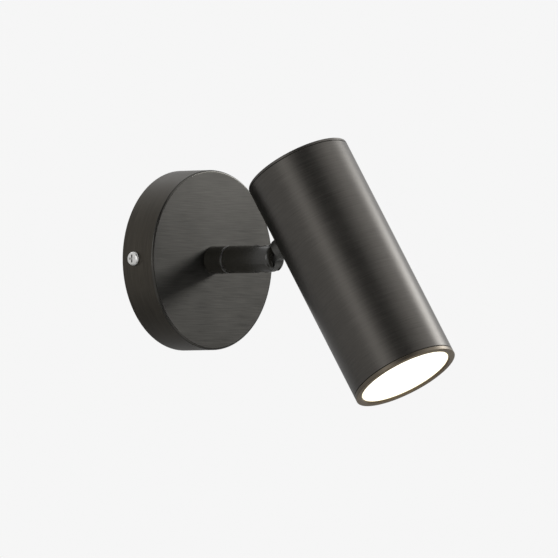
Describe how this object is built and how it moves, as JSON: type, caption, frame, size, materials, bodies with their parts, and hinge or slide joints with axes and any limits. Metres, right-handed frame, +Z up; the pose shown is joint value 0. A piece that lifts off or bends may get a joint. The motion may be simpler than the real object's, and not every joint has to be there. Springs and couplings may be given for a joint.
{
  "type": "wall spotlight",
  "caption": "Wall spotlight with a round cup canopy on a wall bracket, a short swivel arm with a tilting knuckle, and a cylinder head with an opal diffuser in its front end.",
  "frame": {"origin": "middle of the canopy and of the bracket's screw slots, on the wall", "axes": "+Z up, the wall is the plane Y = 0, and the light stands out from it along -Y"},
  "size_m": [0.1048, 0.185, 0.1478],
  "materials": {
    "canopy_metal": "black-nickel brushed, straight grain across the face",
    "head_metal": "black anodised, brushed round the tube",
    "bezel_metal": "black anodised, brushed round the ring",
    "arm_metal": "satin black lacquer",
    "bracket_steel": "zinc plated sheet",
    "bright_screw": "bright nickel plated",
    "zinc_steel": "zinc plated",
    "washer_steel": "plain turned steel",
    "black_screw": "black oxide",
    "friction_nylon": "black nylon",
    "brass_clamp": "plain turned brass",
    "block_plastic": "white polyamide",
    "grommet_rubber": "black rubber",
    "earth_wire": "green and yellow insulation",
    "lead_wire": "grey insulation",
    "opal_diffuser": "opal acrylic, lit from behind",
    "gasket_silicone": "white silicone",
    "reflector_white": "white moulded",
    "board_white": "white solder mask",
    "led_phosphor": "phosphor",
    "sink_aluminium": "plain extruded",
    "shelf_steel": "zinc plated sheet",
    "driver_plastic": "white moulded",
    "driver_lid_plastic": "white moulded"
  },
  "bodies": {
    "base": {"canopy": "canopy_metal", "wall_bracket": "bracket_steel", "rim_screws": "bright_screw", "cable_grommet": "grommet_rubber", "terminal_block": "block_plastic", "terminal_clamps": "brass_clamp", "terminal_screws": "brass_clamp", "block_screws": "zinc_steel", "earth_screw": "brass_clamp", "earth_lead": "earth_wire", "nipple": "zinc_steel", "star_washer": "zinc_steel", "nipple_nut": "zinc_steel", "base_collar": "arm_metal", "collar_stop_pin": "zinc_steel", "supply_leads": "lead_wire"},
    "arm": {"swivel_arm": "arm_metal", "arm_stop_pin": "zinc_steel", "swivel_washer": "washer_steel", "retaining_ring": "zinc_steel", "pivot_screw": "black_screw", "friction_washers": "friction_nylon"},
    "head": {"knuckle": "arm_metal", "outer_saddle": "arm_metal", "inner_saddle": "zinc_steel", "knuckle_nut": "zinc_steel", "head_tube": "head_metal", "top_cap": "head_metal", "bezel": "bezel_metal", "diffuser": "opal_diffuser", "diffuser_gasket": "gasket_silicone", "reflector": "reflector_white", "led_board": "board_white", "led_chips": "led_phosphor", "board_screws": "zinc_steel", "heat_sink": "sink_aluminium", "driver_shelf": "shelf_steel", "shelf_screw": "zinc_steel", "driver_case": "driver_plastic", "driver_lid": "driver_lid_plastic", "driver_screws": "zinc_steel", "driver_leads": "lead_wire", "led_leads": "lead_wire"}
  },
  "joints": [
    {"name": "swivel", "type": "hinge", "parent": "base", "child": "arm", "pos_m": [0, -0.0347, 0], "axis": [0, -1, 0], "range_deg": [-165, 155]},
    {"name": "tilt", "type": "hinge", "parent": "arm", "child": "head", "pos_m": [0, -0.064, 0], "axis": [-0.9962, 0, -0.0872], "range_deg": [-60.8, 59.2]}
  ]
}
